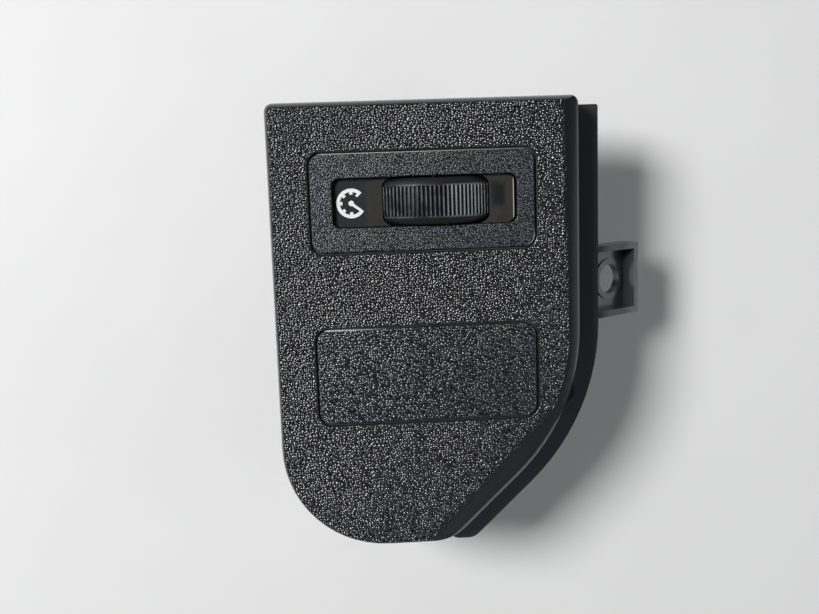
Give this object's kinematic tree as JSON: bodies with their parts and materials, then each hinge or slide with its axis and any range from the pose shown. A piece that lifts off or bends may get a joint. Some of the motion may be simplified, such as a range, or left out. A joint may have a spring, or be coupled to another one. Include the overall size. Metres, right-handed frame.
{
  "type": "dash light dimmer switch",
  "caption": "Thumbwheel dimmer switch in a moulded dash trim panel with a blank plug, a side flange and a sloping screw tab.",
  "frame": {"origin": "centre of the part's footprint at its lowest point, the connector's rear end, with the face up", "axes": "+Z out of the face, +Y up the panel as fitted in the dash, +X to the right seen from the front"},
  "size_m": [0.0774, 0.0926, 0.0398],
  "materials": {
    "panel_plastic": "pebble grained, smooth along the rounded edges",
    "blank_plastic": "fine pebble grain",
    "bezel_plastic": "very fine grain",
    "window_plastic": "smooth, smoked",
    "wheel_plastic": "satin with moulded ribs",
    "case_plastic": "satin",
    "holder_plastic": "satin",
    "connector_nylon": "satin",
    "clear_acrylic": "clear",
    "lamp_glass": "clear",
    "board_laminate": "lacquered",
    "carbon_track": "printed carbon",
    "epoxy": "moulded",
    "resistor_ceramic": "painted",
    "capacitor_sleeve": "sleeved",
    "terminal_brass": "tinned edges",
    "spring_bronze": "rolled",
    "steel": "turned",
    "spring_steel": "zinc plated",
    "aluminium_sheet": "bare sheet"
  },
  "bodies": {
    "root": {"trim_panel": "panel_plastic", "blank_plug": "blank_plastic", "dimmer_bezel": "bezel_plastic", "window_plate": "window_plastic", "wheel_axle": "steel", "friction_washer": "spring_bronze", "case_lower": "case_plastic", "case_upper": "case_plastic", "light_guide": "clear_acrylic", "lamp_bulb": "lamp_glass", "lamp_holder": "holder_plastic", "circuit_board": "board_laminate", "resistor_track": "carbon_track", "collector_ring": "terminal_brass", "power_transistor": "epoxy", "heat_sink": "aluminium_sheet", "board_resistor": "resistor_ceramic", "board_capacitor": "capacitor_sleeve", "board_diode": "epoxy", "connector_block": "connector_nylon", "terminal_1": "terminal_brass", "terminal_2": "terminal_brass", "terminal_3": "terminal_brass", "terminal_4": "terminal_brass", "clip_1": "spring_steel", "clip_2": "spring_steel", "clip_3": "spring_steel", "clip_4": "spring_steel"},
    "wheel": {"thumbwheel": "wheel_plastic", "wiper": "spring_bronze"}
  },
  "joints": [
    {"name": "wheel_turn", "type": "hinge", "parent": "root", "child": "wheel", "pos_m": [-0.00614, 0.0267, 0.0255], "axis": [0, 1, 0], "range_deg": [-120, 120]}
  ]
}
